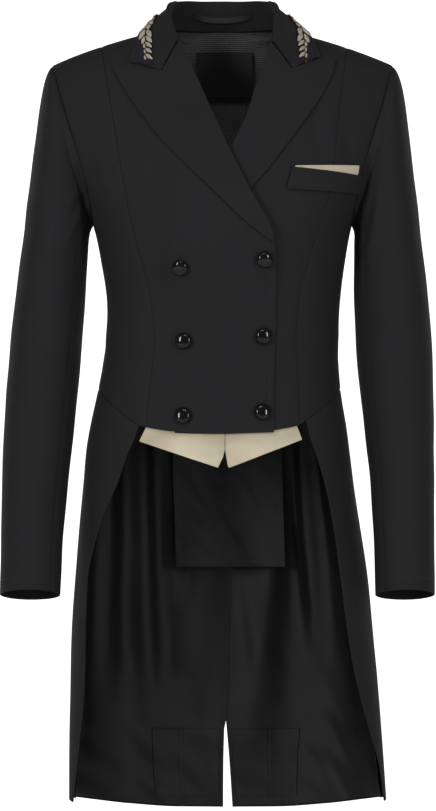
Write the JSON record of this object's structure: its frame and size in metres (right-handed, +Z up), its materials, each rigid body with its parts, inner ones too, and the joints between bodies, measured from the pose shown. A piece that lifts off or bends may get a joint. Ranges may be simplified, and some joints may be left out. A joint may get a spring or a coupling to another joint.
{
  "type": "dressage tailcoat",
  "caption": "Women's double-breasted riding tailcoat with peak lapels, a braided collar, long satin-lined tails and satin waistcoat points, held in its worn form and hollow inside.",
  "frame": {"origin": "between the shoulders, on the centre plane, at the height where the coat hangs from the neck ends of its shoulder seams", "axes": "+Z up, the coat faces -Y, and the wearer's left is +X"},
  "size_m": [0.5089, 0.2569, 0.9699],
  "materials": {
    "softshell": "matt black bonded softshell cloth",
    "black_satin": "shiny black satin lining",
    "mesh_lining": "black knitted mesh lining",
    "cream_satin": "cream satin with a soft shine",
    "braid": "champagne braid of raised leaves",
    "label": "plain black woven label",
    "button": "glossy black"
  },
  "bodies": {
    "root": {"front_centre_right": "softshell", "front_side_right": "softshell", "front_centre_left": "softshell", "front_side_left": "softshell", "back_centre_right": "softshell", "back_centre_left": "softshell", "back_side_right": "softshell", "back_side_left": "softshell", "tail_side_right": "softshell", "tail_side_left": "softshell", "tail_lining_right": "black_satin", "tail_lining_left": "black_satin", "tail_weight_right": "black_satin", "tail_weight_left": "black_satin", "seat_flap": "black_satin", "sleeve_top_right": "softshell", "sleeve_under_right": "softshell", "sleeve_top_left": "softshell", "sleeve_under_left": "softshell", "collar": "softshell", "collar_braid": "braid", "hanger_loop": "black_satin", "lapel_right": "softshell", "lapel_left": "softshell", "pocket_insert": "cream_satin", "breast_welt": "softshell", "neck_label": "label", "waistcoat_point_right": "cream_satin", "waistcoat_point_left": "cream_satin", "back_neck_lining": "mesh_lining", "button_1": "button", "button_2": "button", "button_3": "button", "button_4": "button", "button_5": "button", "button_6": "button"}
  },
  "joints": []
}
